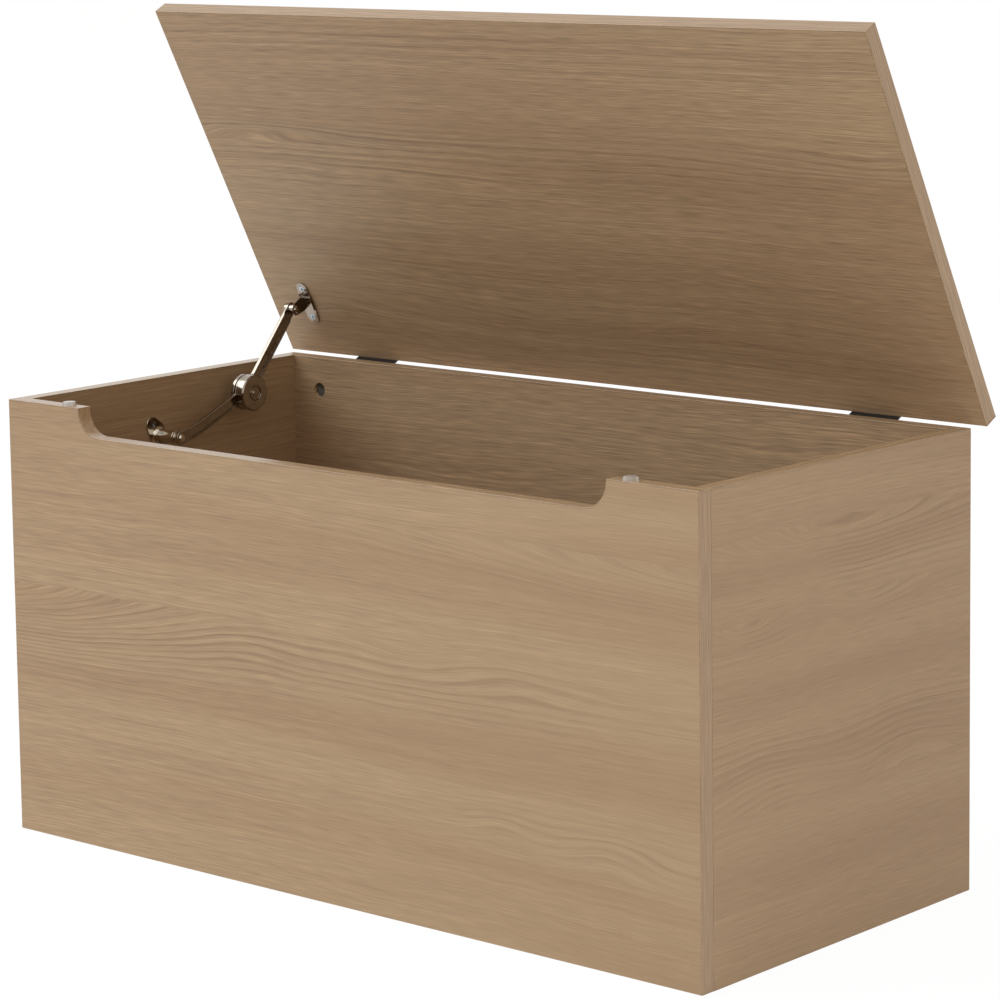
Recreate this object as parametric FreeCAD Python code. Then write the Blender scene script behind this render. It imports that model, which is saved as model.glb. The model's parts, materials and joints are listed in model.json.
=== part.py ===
import FreeCAD, Part
import math
import os

# Storage chest with a hinged lid and one folding lid stay. Millimetres, +Z up.
# The origin is the middle of the box's footprint on the floor, +Y points to the back.
# Every size that can be set by itself is written once, here.

# Box
box_width = 800.0
box_depth = 378.0
box_height = 405.0
board = 15.0
band = 1.0

# Grip cut-out in the front's top edge
grip_from_end = 93.5
grip_depth = 25.5
grip_radius = 23.5

# Lid, drawn shut and then turned to the angle at which it stands open
lid_overhang = 10.0
lid_open_angle = 62.6
bumper_diameter = 13.4
bumper_top_diameter = 11.8
bumper_height = 3.5
bumper_edge = 1.3
bumper_from_end = 74.0
bumper_play = 0.1

# Butt hinges on the back
hinge_length = 51.0
hinge_from_end = 105.0
hinge_leaf_reach = 21.0
hinge_sheet = 1.2
hinge_pin_diameter = 3.0
hinge_pin_end = 0.5
hinge_pin_below_top = 5.2
hinge_knuckles = 5
hinge_knuckle_gap = 0.3
hinge_face_gap = 0.4
hinge_screw_spacing = 32.0
hinge_box_screw_drop = 14.0

# Cam joints and dowels
cam_diameter = 14.0
cam_hole_depth = 12.0
cam_sunk = 3.6
cam_slot_length = 7.0
cam_slot_width = 1.4
cam_slot_depth = 0.5
cam_throat_radius = 3.1
bolt_to_cam = 34.0
bolt_thread_diameter = 6.8
bolt_thread_length = 9.5
bolt_shaft_diameter = 6.0
bolt_neck_diameter = 4.0
bolt_neck_length = 2.6
bolt_head_length = 3.0
bolt_bore_diameter = 7.0
dowel_diameter = 8.0
dowel_in_face = 10.0
dowel_in_edge = 20.0
joint_high_from_top = 32.0
joint_low_from_floor = 60.0
dowel_high_from_top = 125.0
dowel_low_from_floor = 140.0
base_long_joint_inset = 180.0
base_short_joint_inset = 95.0

# Countersunk wood screws
screw_diameter = 3.5
screw_head_diameter = 6.6
screw_head_depth = 1.7
screw_length = 13.0
screw_tip = 2.5
screw_cross = 3.4
screw_cross_width = 0.8
screw_cross_depth = 1.1

# Lid stay, counted across the box from the left panel's inner face
stay_side_from_back = 203.0
stay_side_below_top = 55.6
stay_side_face = 32.0
stay_hub_face = 33.0
stay_ear_face = 19.2
stay_lid_from_rear = 60.0
stay_lid_drop = 13.5
elbow_along = 101.2
elbow_sag = 24.1

# Stay arms: shallow pressed channels, open towards the middle of the box, with flat eyes
arm_width = 12.0
arm_sheet = 1.7
arm_lip = 2.3
arm_lip_slope = 5.0
arm_lip_from_eye = 7.5
arm_eye_radius = 6.6
arm_side_flat = 25.0
arm_lid_flat = 14.0
arm_hub_flat = 20.0

# Stay hub at the elbow
hub_radius = 17.5
hub_cup_depth = 9.5
hub_cup_wall = 1.6
hub_cup_front = 2.4
hub_recess_radius = 7.6
hub_recess_depth = 1.6
hub_boss_radius = 6.3
hub_boss_height = 1.4
hub_friction_radius = 15.0
hub_friction_sheet = 1.0
hub_back_disc = 3.5
hub_edge = 1.2
hub_rivet_radius = 3.0
hub_rivet_head_radius = 3.6
hub_rivet_head = 0.9
hub_tail_radius = 5.5
hub_tail = 1.5
disc_spring_count = 4
disc_spring_sheet = 1.0
disc_spring_rise = 0.7
disc_spring_inner = 4.0

# Stay brackets
side_plate_end_radius = 7.8
side_plate_middle_radius = 11.5
side_plate_sheet = 1.6
side_plate_tilt = 38.0
side_screw_spacing = 28.4
horn_radius = 6.2
horn_flare = 4.0
horn_length = 21.9
stud_radius = 3.0
washer_radius = 5.8
washer_inner_ring = 4.6
washer_count = 3
side_rivet_head_radius = 4.5
side_rivet_head = 1.4
lid_plate_end_radius = 7.0
lid_plate_middle_radius = 8.2
lid_plate_sheet = 1.5
lid_plate_from_ear = 4.8
lid_screw_spacing = 32.6
ear_sheet = 1.5
ear_base = 15.0
ear_flange = 12.0
ear_tip_radius = 6.0
ear_rivet_radius = 1.1
ear_rivet_spacing = 4.6
ear_rivet_proud = 0.4
lid_rivet_radius = 2.5
lid_rivet_head_radius = 4.0
lid_rivet_head = 1.4
lid_washer_radius = 5.5
lid_spacer = 4.6
lid_tail_washer = 4.0
rivet_crown = 0.6

# Clearances
running = 0.05
face_gap = 0.3
hole_spare = 0.5

# Worked-out places
V = FreeCAD.Vector
AXIS_X = V(1, 0, 0)
AXIS_Y = V(0, 1, 0)
AXIS_Z = V(0, 0, 1)
half_width = box_width / 2
front_y = -box_depth / 2
back_y = box_depth / 2
inner_x = half_width - board
inner_front_y = front_y + board
inner_back_y = back_y - board
core_top = box_height - band
lid_gap = bumper_height + bumper_play
lid_under = box_height + lid_gap
lid_top = lid_under + board
lid_front_y = front_y - lid_overhang
lid_rear_y = back_y + hinge_face_gap
lid_half = half_width + lid_overhang
knuckle_radius = hinge_pin_diameter / 2 + hinge_sheet
hinge_y = back_y + face_gap + knuckle_radius
hinge_z = box_height - hinge_pin_below_top
stay_x = -inner_x

nodes = {}
panel_cuts = {}


def add(node, *solids):
    nodes.setdefault(node, []).extend(solids)


def cut_from(panel, *tools):
    panel_cuts.setdefault(panel, []).extend(tools)


def block(low, high):
    return Part.makeBox(high.x - low.x, high.y - low.y, high.z - low.z, low)


def rod(start, direction, radius, length):
    return Part.makeCylinder(radius, length, start, direction)


def tube(start, direction, radius, bore, length):
    return rod(start, direction, radius, length).cut(rod(start, direction, bore, length))


def prism(points, push):
    return Part.Face(Part.makePolygon(points + points[:1])).extrude(push)


def turned(profile, start, direction):
    """Solid of revolution: profile is (radius, height) pairs along direction from start."""
    points = [V(radius, 0, height) for radius, height in profile]
    solid = Part.Face(Part.makePolygon(points + points[:1])).revolve(V(0, 0, 0), AXIS_Z, 360)
    solid.Placement = FreeCAD.Placement(start, FreeCAD.Rotation(AXIS_Z, direction))
    return solid


def flange_plate(spacing, end_radius, middle_radius, sheet):
    """Plate for two screws, long along X, rounded at its ends and widest in the middle."""
    half = spacing / 2
    lean = (middle_radius - end_radius) / half
    level = math.sqrt(1 - lean ** 2)
    end_x = half + end_radius * lean
    end_y = end_radius * level
    middle_x = middle_radius * lean
    middle_y = middle_radius * level
    edges = []
    for side in (-1, 1):
        for end in (-1, 1):
            edges.append(Part.makeLine(V(end * end_x, side * end_y, 0), V(end * middle_x, side * middle_y, 0)))
        edges.append(Part.Arc(V(-middle_x, side * middle_y, 0), V(0, side * middle_radius, 0),
                              V(middle_x, side * middle_y, 0)).toShape())
        edges.append(Part.Arc(V(side * end_x, -end_y, 0), V(side * (half + end_radius), 0, 0),
                              V(side * end_x, end_y, 0)).toShape())
    return Part.Face(Part.Wire(Part.__sortEdges__(edges))).extrude(V(0, 0, sheet))


def lid_turned(shape):
    """Turn a solid drawn with the lid shut to the open lid's place."""
    return shape.rotated(V(0, hinge_y, hinge_z), AXIS_X, -lid_open_angle)


def lid_point(y, z):
    """Where a point of the shut lid lies, as (y, z), when the lid stands open."""
    turn = math.radians(-lid_open_angle)
    dy = y - hinge_y
    dz = z - hinge_z
    return (hinge_y + dy * math.cos(turn) - dz * math.sin(turn),
            hinge_z + dy * math.sin(turn) + dz * math.cos(turn))


# Fasteners

def screw_tool(head_point, direction, spare=0.0):
    """Countersunk screw's outer form; spare enlarges it into the hole that it sits in."""
    shank = screw_diameter / 2 + spare
    head = screw_head_diameter / 2 + spare
    profile = [(0, 0), (head, 0), (shank, screw_head_depth), (shank, screw_length - screw_tip),
               (0, screw_length + spare)]
    return turned(profile, head_point, direction)


def screw(head_point, direction):
    body = screw_tool(head_point, direction)
    turn = FreeCAD.Rotation(AXIS_Z, direction)
    for length, width in ((screw_cross, screw_cross_width), (screw_cross_width, screw_cross)):
        slot = Part.makeBox(length, width, screw_cross_depth, V(-length / 2, -width / 2, 0))
        slot.Placement = FreeCAD.Placement(head_point, turn).multiply(slot.Placement)
        body = body.cut(slot)
    return body


def add_cam_joint(point, into_edge, cam_face, face_panel, edge_panel):
    """Cam lock, its bolt and their holes, at a point on the joint between two panels."""
    back = into_edge * -1
    cam_centre = point + into_edge * bolt_to_cam
    cam_radius = cam_diameter / 2
    cam_mouth = cam_centre + cam_face * (board / 2)
    sink = cam_face * -1
    cam_height = cam_hole_depth - cam_sunk - running

    thread = bolt_thread_diameter / 2
    shaft = bolt_shaft_diameter / 2
    neck = bolt_neck_diameter / 2
    neck_start = bolt_to_cam - cam_throat_radius - bolt_neck_length / 2
    head_start = neck_start + bolt_neck_length
    bolt = turned([(0, -bolt_thread_length), (thread, -bolt_thread_length), (thread, 0), (shaft, 0),
                   (shaft, neck_start), (neck, neck_start), (neck, head_start), (shaft, head_start),
                   (shaft, head_start + bolt_head_length), (0, head_start + bolt_head_length)],
                  point, into_edge)
    add("cam_bolts", bolt)

    cam = rod(cam_mouth + sink * cam_sunk, sink, cam_radius, cam_height)
    throat_end = head_start + bolt_head_length + hole_spare
    throat = rod(cam_centre + back * cam_radius, into_edge, cam_throat_radius,
                 cam_radius + throat_end - bolt_to_cam)
    cam = cam.cut(throat)
    across = into_edge.cross(cam_face)
    for along, wide in ((into_edge, across), (across, into_edge)):
        corner = cam_mouth + sink * cam_sunk - along * (cam_slot_length / 2) - wide * (cam_slot_width / 2)
        outline = [corner, corner + along * cam_slot_length,
                   corner + along * cam_slot_length + wide * cam_slot_width, corner + wide * cam_slot_width]
        cam = cam.cut(prism(outline, sink * cam_slot_depth))
    add("cam_locks", cam)

    cut_from(face_panel, rod(point, back, thread + running, bolt_thread_length + hole_spare))
    cut_from(edge_panel, rod(point, into_edge, bolt_bore_diameter / 2, bolt_to_cam),
             rod(cam_mouth, sink, cam_radius + running, cam_hole_depth))


def add_dowel(point, into_edge, face_panel, edge_panel):
    radius = dowel_diameter / 2
    back = into_edge * -1
    add("wood_dowels", rod(point + back * dowel_in_face, into_edge, radius, dowel_in_face + dowel_in_edge))
    cut_from(face_panel, rod(point, back, radius + running, dowel_in_face + hole_spare))
    cut_from(edge_panel, rod(point, into_edge, radius + running, dowel_in_edge + hole_spare))


def add_box_joints():
    cam_rows = (box_height - joint_high_from_top, joint_low_from_floor)
    dowel_rows = (box_height - dowel_high_from_top, dowel_low_from_floor)
    base_mid = board / 2
    for side, panel in ((-1, "left_panel"), (1, "right_panel")):
        inward = V(-side, 0, 0)
        face_x = side * inner_x
        mid_x = side * (half_width - board / 2)
        back_mid = back_y - board / 2
        for z in cam_rows:
            add_cam_joint(V(face_x, back_mid, z), inward, AXIS_Y * -1, panel, "back_panel")
            add_cam_joint(V(mid_x, inner_front_y, z), AXIS_Y, inward, "front_panel", panel)
        for z in dowel_rows:
            add_dowel(V(face_x, back_mid, z), inward, panel, "back_panel")
            add_dowel(V(mid_x, inner_front_y, z), AXIS_Y, "front_panel", panel)
        for y in (inner_front_y + base_short_joint_inset, inner_back_y - base_short_joint_inset):
            add_cam_joint(V(face_x, y, base_mid), inward, AXIS_Z * -1, panel, "base_panel")
        add_dowel(V(face_x, 0, base_mid), inward, panel, "base_panel")
    for y, inward, panel in ((inner_front_y, AXIS_Y, "front_panel"),
                             (inner_back_y, AXIS_Y * -1, "back_panel")):
        for side in (-1, 1):
            x = side * (inner_x - base_long_joint_inset)
            add_cam_joint(V(x, y, base_mid), inward, AXIS_Z * -1, panel, "base_panel")
        add_dowel(V(0, y, base_mid), inward, panel, "base_panel")


# Box panels and their edge bands

def front_outline(inset):
    """Front panel seen from the front, drawn in by inset along its ends, top and grip cut-out."""
    end = half_width - inset
    top = box_height - inset
    grip_end = half_width - grip_from_end + inset
    floor = box_height - grip_depth - inset
    radius = grip_radius + inset
    centre_x = grip_end - radius
    centre_z = floor + radius
    slant = radius * math.sqrt(0.5)
    y = front_y
    corners = [V(-grip_end, y, centre_z), V(-grip_end, y, top), V(-end, y, top), V(-end, y, 0),
               V(end, y, 0), V(end, y, top), V(grip_end, y, top), V(grip_end, y, centre_z)]
    edges = [Part.makeLine(a, b) for a, b in zip(corners, corners[1:])]
    edges.append(Part.makeLine(V(centre_x, y, floor), V(-centre_x, y, floor)))
    for side in (-1, 1):
        wall_end = V(side * grip_end, y, centre_z)
        middle = V(side * (centre_x + slant), y, centre_z - slant)
        floor_end = V(side * centre_x, y, floor)
        edges.append(Part.Arc(wall_end, middle, floor_end).toShape())
    return Part.Face(Part.Wire(Part.__sortEdges__(edges))).extrude(V(0, board, 0))


def add_front():
    core = front_outline(band)
    add("front_panel", core)
    ends = []
    for side in (-1, 1):
        low_x = min(side * half_width, side * (half_width - band))
        ends.append(block(V(low_x, front_y, 0), V(low_x + band, inner_front_y, core_top)))
    add("front_end_bands", *ends)
    add("front_top_band", front_outline(0).cut([core] + ends))


def add_sides():
    for side, name in ((-1, "left"), (1, "right")):
        low_x = min(side * inner_x, side * half_width)
        high_x = low_x + board
        core_back = back_y - band
        add(name + "_panel", block(V(low_x, inner_front_y, 0), V(high_x, core_back, core_top)))
        add(name + "_back_band", block(V(low_x, core_back, 0), V(high_x, back_y, core_top)))
        add(name + "_top_band", block(V(low_x, inner_front_y, core_top), V(high_x, back_y, box_height)))


def add_back_and_base():
    add("back_panel", block(V(-inner_x, inner_back_y, 0), V(inner_x, back_y, core_top)))
    add("back_top_band", block(V(-inner_x, inner_back_y, core_top), V(inner_x, back_y, box_height)))
    add("base_panel", block(V(-inner_x, inner_front_y, 0), V(inner_x, inner_back_y, board)))


def add_bumpers():
    for side in (-1, 1):
        foot = V(side * (half_width - bumper_from_end), front_y + board / 2, box_height)
        pad = Part.makeCone(bumper_diameter / 2, bumper_top_diameter / 2, bumper_height, foot, AXIS_Z)
        rim = max(pad.Edges, key=lambda edge: edge.BoundBox.ZMin)
        add("lid_bumpers", pad.makeFillet(bumper_edge, [rim]))


def add_lid():
    core_half = lid_half - band
    core_front = lid_front_y + band
    core_rear = lid_rear_y - band
    add("lid_panel", block(V(-core_half, core_front, lid_under), V(core_half, core_rear, lid_top)))
    for side in (-1, 1):
        low_x = min(side * core_half, side * lid_half)
        add("lid_end_bands", block(V(low_x, core_front, lid_under), V(low_x + band, core_rear, lid_top)))
    add("lid_front_band", block(V(-lid_half, lid_front_y, lid_under), V(lid_half, core_front, lid_top)))
    add("lid_rear_band", block(V(-lid_half, core_rear, lid_under), V(lid_half, lid_rear_y, lid_top)))


# Hinges

def hinge_leaf(centre_x, face_y, up, own_knuckles):
    """One leaf with its knuckles; up is +1 for the lid's leaf and -1 for the box's leaf."""
    start_x = centre_x - hinge_length / 2
    pitch = hinge_length / hinge_knuckles
    clear = knuckle_radius + hole_spare
    far_z = hinge_z + up * hinge_leaf_reach
    near_z = hinge_z + up * clear
    leaf = block(V(start_x, face_y, min(near_z, far_z)),
                 V(start_x + hinge_length, face_y + hinge_sheet, max(near_z, far_z)))
    for index in own_knuckles:
        low_x = start_x + index * pitch + hinge_knuckle_gap / 2
        length = pitch - hinge_knuckle_gap
        root = block(V(low_x, face_y, min(hinge_z, near_z)),
                     V(low_x + length, face_y + hinge_sheet, max(hinge_z, near_z)))
        ring = rod(V(low_x, hinge_y, hinge_z), AXIS_X, knuckle_radius, length)
        leaf = leaf.fuse([root, ring])
    bore = rod(V(start_x, hinge_y, hinge_z), AXIS_X, hinge_pin_diameter / 2 + running, hinge_length)
    return leaf.cut(bore).removeSplitter()


def add_hinges():
    lid_screw_z = (lid_under + lid_top) / 2
    box_screw_z = hinge_z - hinge_box_screw_drop
    into_board = AXIS_Y * -1
    for side, name in ((-1, "left"), (1, "right")):
        centre_x = side * (half_width - hinge_from_end)
        box_leaf = hinge_leaf(centre_x, back_y, -1, range(0, hinge_knuckles, 2))
        lid_leaf = hinge_leaf(centre_x, lid_rear_y, 1, range(1, hinge_knuckles, 2))
        for offset in (-hinge_screw_spacing / 2, hinge_screw_spacing / 2):
            box_head = V(centre_x + offset, back_y + hinge_sheet, box_screw_z)
            lid_head = V(centre_x + offset, lid_rear_y + hinge_sheet, lid_screw_z)
            box_leaf = box_leaf.cut(screw_tool(box_head, into_board, running))
            lid_leaf = lid_leaf.cut(screw_tool(lid_head, into_board, running))
            add("hinge_box_screws", screw(box_head, into_board))
            add("hinge_lid_screws", screw(lid_head, into_board))
            cut_from("back_panel", screw_tool(box_head, into_board, running))
            cut_from("lid_panel", screw_tool(lid_head, into_board, running))
            cut_from("lid_rear_band", screw_tool(lid_head, into_board, running))
        add("hinge_box_leaf_" + name, box_leaf)
        add("hinge_lid_leaf_" + name, lid_leaf)
        pin_start = V(centre_x - hinge_length / 2 - hinge_pin_end, hinge_y, hinge_z)
        add("hinge_pins", rod(pin_start, AXIS_X, hinge_pin_diameter / 2, hinge_length + 2 * hinge_pin_end))


# Lid stay

side_pivot = (back_y - stay_side_from_back, box_height - stay_side_below_top)
lid_pivot_shut = (lid_rear_y - stay_lid_from_rear, lid_under - stay_lid_drop)
lid_pivot = lid_point(*lid_pivot_shut)
span = (lid_pivot[0] - side_pivot[0], lid_pivot[1] - side_pivot[1])
reach = math.hypot(*span)
aim = (span[0] / reach, span[1] / reach)
elbow = (side_pivot[0] + aim[0] * elbow_along + aim[1] * elbow_sag,
         side_pivot[1] + aim[1] * elbow_along - aim[0] * elbow_sag)

lower_hub_face = stay_hub_face - hub_cup_depth
friction_back = lower_hub_face - arm_sheet - hub_friction_sheet
upper_hub_face = friction_back - face_gap
ear_back = stay_ear_face - ear_sheet
upper_lid_face = ear_back - lid_spacer - face_gap
post_end = stay_side_face - arm_sheet - face_gap
horn_end = side_plate_sheet + horn_length


def at(pivot, across):
    """A point on a pivot's axis, across the box from the left panel's inner face."""
    return V(stay_x + across, pivot[0], pivot[1])


def arm_slab(stations, rise_from, rise_to, half_wide):
    """Cranked slab along an arm: stations are (distance, face) pairs, rises are counted from the face."""
    low = [V(along, -half_wide, face + rise_from) for along, face in stations]
    high = [V(along, -half_wide, face + rise_to) for along, face in reversed(stations)]
    return prism(low + high, V(0, 2 * half_wide, 0))


def arm_between(start, end, faces, flats, end_radii, lip_stops, lip_slopes):
    """Channel arm from one pivot to the next, pressed from sheet, cranked between its flat ends."""
    length = math.hypot(end[0] - start[0], end[1] - start[1])
    widest = max(end_radii)
    stations = [(-widest, faces[0]), (flats[0], faces[0]),
                (length - flats[1], faces[1]), (length + widest, faces[1])]
    low = min(faces) - arm_sheet
    high = max(faces) + arm_lip + hole_spare
    tall = high - low
    half_wide = arm_width / 2
    outline = Part.makeBox(length, arm_width, tall, V(0, -half_wide, low))
    ends = [rod(V(along, 0, low), AXIS_Z, radius, tall) for along, radius in zip((0, length), end_radii)]
    web = arm_slab(stations, -arm_sheet, 0, widest).common(outline.fuse(ends))
    near = lip_stops[0]
    far = length - lip_stops[1]
    near_full = near + lip_slopes[0]
    far_full = far - lip_slopes[1]
    side_view = [(near, low), (far, low), (far, faces[1]), (far_full, faces[1] + arm_lip), (far_full, high),
                 (near_full, high), (near_full, faces[0] + arm_lip), (near, faces[0])]
    lip_zone = prism([V(along, -half_wide, rise) for along, rise in side_view], V(0, arm_width, 0))
    lips = arm_slab(stations, -arm_sheet, arm_lip, half_wide).common(lip_zone)
    hollow = arm_slab(stations, 0, arm_lip, half_wide - arm_sheet)
    return web.fuse(lips.cut(hollow)).removeSplitter()


def place_arm(arm, start, end):
    """Carry an arm from its own axes to its two pivots."""
    turn = math.atan2(end[1] - start[1], end[0] - start[0])
    cos = math.cos(turn)
    sin = math.sin(turn)
    carry = FreeCAD.Matrix(0, 0, 1, stay_x, cos, -sin, 0, start[0], sin, cos, 0, start[1], 0, 0, 0, 1)
    return arm.transformed(carry)


def add_lower_arm():
    hub_clear = hub_radius + hole_spare
    arm = arm_between(side_pivot, elbow, (stay_side_face, lower_hub_face), (arm_side_flat, arm_hub_flat),
                      (arm_eye_radius, hub_radius), (arm_lip_from_eye, hub_clear), (arm_lip_slope, 0))
    arm = place_arm(arm, side_pivot, elbow)
    arm = arm.cut(rod(at(side_pivot, 0), AXIS_X, stud_radius + running, stay_side_face))
    arm = arm.cut(rod(at(elbow, 0), AXIS_X, hub_rivet_radius + running, stay_hub_face))
    add("stay_lower_arm", arm)
    shank_end = post_end + face_gap
    crown = stay_side_face + side_rivet_head
    rivet = [(0, shank_end), (stud_radius, shank_end), (stud_radius, stay_side_face),
             (side_rivet_head_radius, stay_side_face),
             (side_rivet_head_radius * rivet_crown, crown), (0, crown)]
    add("stay_side_rivet", turned(rivet, at(side_pivot, 0), AXIS_X))


def add_upper_arm():
    hub_clear = hub_radius + hole_spare
    arm = arm_between(elbow, lid_pivot, (upper_hub_face, upper_lid_face), (arm_hub_flat, arm_lid_flat),
                      (hub_radius, arm_eye_radius), (hub_clear, arm_lip_from_eye), (0, arm_lip_slope))
    arm = place_arm(arm, elbow, lid_pivot)
    arm = arm.fuse(rod(at(elbow, upper_hub_face - hub_back_disc), AXIS_X, hub_radius, hub_back_disc))
    hub_bore = rod(at(elbow, 0), AXIS_X, hub_rivet_radius + running, stay_hub_face)
    eye_bore = rod(at(lid_pivot, 0), AXIS_X, lid_rivet_radius + running, stay_ear_face)
    add("stay_upper_arm", arm.cut([hub_bore, eye_bore]).removeSplitter())


def add_hub():
    cup_back = lower_hub_face
    cavity_end = stay_hub_face - hub_cup_front
    recess_floor = stay_hub_face - hub_recess_depth
    boss_face = recess_floor + hub_boss_height
    bore = hub_rivet_radius + running
    cavity_radius = hub_radius - hub_cup_wall
    cup = [(bore, cavity_end), (cavity_radius, cavity_end), (cavity_radius, cup_back), (hub_radius, cup_back),
           (hub_radius, stay_hub_face - hub_edge), (hub_radius - hub_edge, stay_hub_face),
           (hub_recess_radius, stay_hub_face), (hub_recess_radius, recess_floor),
           (hub_boss_radius, recess_floor), (hub_boss_radius, boss_face), (bore, boss_face)]
    add("hub_cup", turned(cup, at(elbow, 0), AXIS_X))

    spring_outer = cavity_radius - face_gap
    step = disc_spring_sheet + disc_spring_rise
    for index in range(disc_spring_count):
        lift = disc_spring_rise if index % 2 else 0
        inner_base = cup_back + index * step + lift
        outer_base = cup_back + index * step + disc_spring_rise - lift
        spring = [(disc_spring_inner, inner_base), (spring_outer, outer_base),
                  (spring_outer, outer_base + disc_spring_sheet),
                  (disc_spring_inner, inner_base + disc_spring_sheet)]
        add("hub_disc_springs", turned(spring, at(elbow, 0), AXIS_X))

    disc_start = at(elbow, friction_back)
    add("hub_friction_disc", tube(disc_start, AXIS_X, hub_friction_radius, bore, hub_friction_sheet))
    tail_face = upper_hub_face - hub_back_disc - face_gap
    crown = boss_face + hub_rivet_head
    rivet = [(0, tail_face - hub_tail), (hub_tail_radius, tail_face - hub_tail), (hub_tail_radius, tail_face),
             (hub_rivet_radius, tail_face), (hub_rivet_radius, boss_face), (hub_rivet_head_radius, boss_face),
             (hub_rivet_head_radius * rivet_crown, crown), (0, crown)]
    add("hub_rivet", turned(rivet, at(elbow, 0), AXIS_X))


def horn_and_stud():
    """Post that flares out of the side plate and ends in the pivot's stud."""
    foot = horn_radius + horn_flare
    flare_end = side_plate_sheet + horn_flare
    slant = horn_flare * (1 - math.sqrt(0.5))
    flare = Part.Arc(V(foot, 0, side_plate_sheet), V(horn_radius + slant, 0, side_plate_sheet + slant),
                     V(horn_radius, 0, flare_end))
    before = [V(0, 0, 0), V(foot, 0, 0), V(foot, 0, side_plate_sheet)]
    after = [V(horn_radius, 0, flare_end), V(horn_radius, 0, horn_end), V(stud_radius, 0, horn_end),
             V(stud_radius, 0, post_end), V(0, 0, post_end), V(0, 0, 0)]
    edges = [Part.makeLine(start, end) for run in (before, after) for start, end in zip(run, run[1:])]
    outline = Part.Wire(Part.__sortEdges__(edges + [flare.toShape()]))
    post = Part.Face(outline).revolve(V(0, 0, 0), AXIS_Z, 360)
    post.Placement = FreeCAD.Placement(at(side_pivot, 0), FreeCAD.Rotation(AXIS_Z, AXIS_X))
    return post


def add_side_bracket():
    plate = flange_plate(side_screw_spacing, side_plate_end_radius, side_plate_middle_radius, side_plate_sheet)
    plate.rotate(V(0, 0, 0), AXIS_Z, 90 + side_plate_tilt)
    on_side = FreeCAD.Rotation(AXIS_Y, AXIS_Z, AXIS_X, "ZXY")
    plate.Placement = FreeCAD.Placement(at(side_pivot, 0), on_side).multiply(plate.Placement)
    bracket = plate.fuse(horn_and_stud()).removeSplitter()

    tilt = math.radians(side_plate_tilt)
    lean = V(0, -math.sin(tilt), math.cos(tilt))
    for side in (-1, 1):
        head = at(side_pivot, side_plate_sheet) + lean * (side * side_screw_spacing / 2)
        bracket = bracket.cut(screw_tool(head, AXIS_X * -1, running))
        add("stay_side_screws", screw(head, AXIS_X * -1))
        cut_from("left_panel", screw_tool(head, AXIS_X * -1, running))
    add("stay_side_bracket", bracket)

    washer = (post_end - horn_end) / washer_count
    for index in range(washer_count):
        outer = washer_inner_ring if index % 2 else washer_radius
        start = at(side_pivot, horn_end + index * washer)
        add("stay_post_washers", tube(start, AXIS_X, outer, stud_radius + running, washer))


def add_lid_bracket():
    pivot_y, pivot_z = lid_pivot_shut
    plate_x = stay_x + stay_ear_face + lid_plate_from_ear
    plate_under = lid_under - lid_plate_sheet
    plate = flange_plate(lid_screw_spacing, lid_plate_end_radius, lid_plate_middle_radius, lid_plate_sheet)
    plate.rotate(V(0, 0, 0), AXIS_Z, 90)
    plate.translate(V(plate_x, pivot_y, plate_under))
    for side in (-1, 1):
        head = V(plate_x, pivot_y + side * lid_screw_spacing / 2, plate_under)
        plate = plate.cut(screw_tool(head, AXIS_Z, running))
        add("stay_lid_screws", screw(head, AXIS_Z))
        cut_from("lid_panel", screw_tool(head, AXIS_Z, running))

    face_x = stay_x + stay_ear_face
    half_base = ear_base / 2
    flange = block(V(face_x - ear_sheet, pivot_y - half_base, plate_under - ear_sheet),
                   V(face_x + ear_flange, pivot_y + half_base, plate_under))
    cheek = [V(face_x, pivot_y - half_base, plate_under), V(face_x, pivot_y + half_base, plate_under),
             V(face_x, pivot_y + ear_tip_radius, pivot_z), V(face_x, pivot_y - ear_tip_radius, pivot_z)]
    tip = V(face_x - ear_sheet, pivot_y, pivot_z)
    ear = flange.fuse([prism(cheek, V(-ear_sheet, 0, 0)), rod(tip, AXIS_X, ear_tip_radius, ear_sheet)])
    ear = ear.cut(rod(tip, AXIS_X, lid_rivet_radius + running, ear_sheet)).removeSplitter()

    rivet_x = face_x + ear_flange / 2
    for side in (-1, 1):
        head = V(rivet_x, pivot_y + side * ear_rivet_spacing / 2, plate_under - ear_sheet - ear_rivet_proud)
        length = ear_rivet_proud + ear_sheet + lid_plate_sheet
        room = rod(head, AXIS_Z, ear_rivet_radius + running, length)
        ear = ear.cut(room)
        plate = plate.cut(room)
        add("stay_ear_rivets", rod(head, AXIS_Z, ear_rivet_radius, length))
    add("stay_lid_ear", ear)
    add("stay_lid_plate", plate)

    axis = V(stay_x, pivot_y, pivot_z)
    eye_back = upper_lid_face - arm_sheet
    tail_face = eye_back - face_gap - lid_tail_washer
    bore = lid_rivet_radius + running
    crown = stay_ear_face + lid_rivet_head
    rivet = [(0, tail_face - lid_rivet_head), (lid_rivet_head_radius, tail_face - lid_rivet_head),
             (lid_rivet_head_radius, tail_face), (lid_rivet_radius, tail_face),
             (lid_rivet_radius, stay_ear_face), (lid_rivet_head_radius, stay_ear_face),
             (lid_rivet_head_radius * rivet_crown, crown), (0, crown)]
    add("stay_lid_rivet", turned(rivet, axis, AXIS_X))
    for start, length in ((ear_back - lid_spacer, lid_spacer), (tail_face, lid_tail_washer)):
        add("stay_lid_washers", tube(axis + V(start, 0, 0), AXIS_X, lid_washer_radius, bore, length))


lid_nodes = ["lid_panel", "lid_front_band", "lid_rear_band", "lid_end_bands", "hinge_lid_leaf_left",
             "hinge_lid_leaf_right", "hinge_lid_screws", "stay_lid_plate", "stay_lid_ear", "stay_ear_rivets",
             "stay_lid_screws", "stay_lid_rivet", "stay_lid_washers"]

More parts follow.
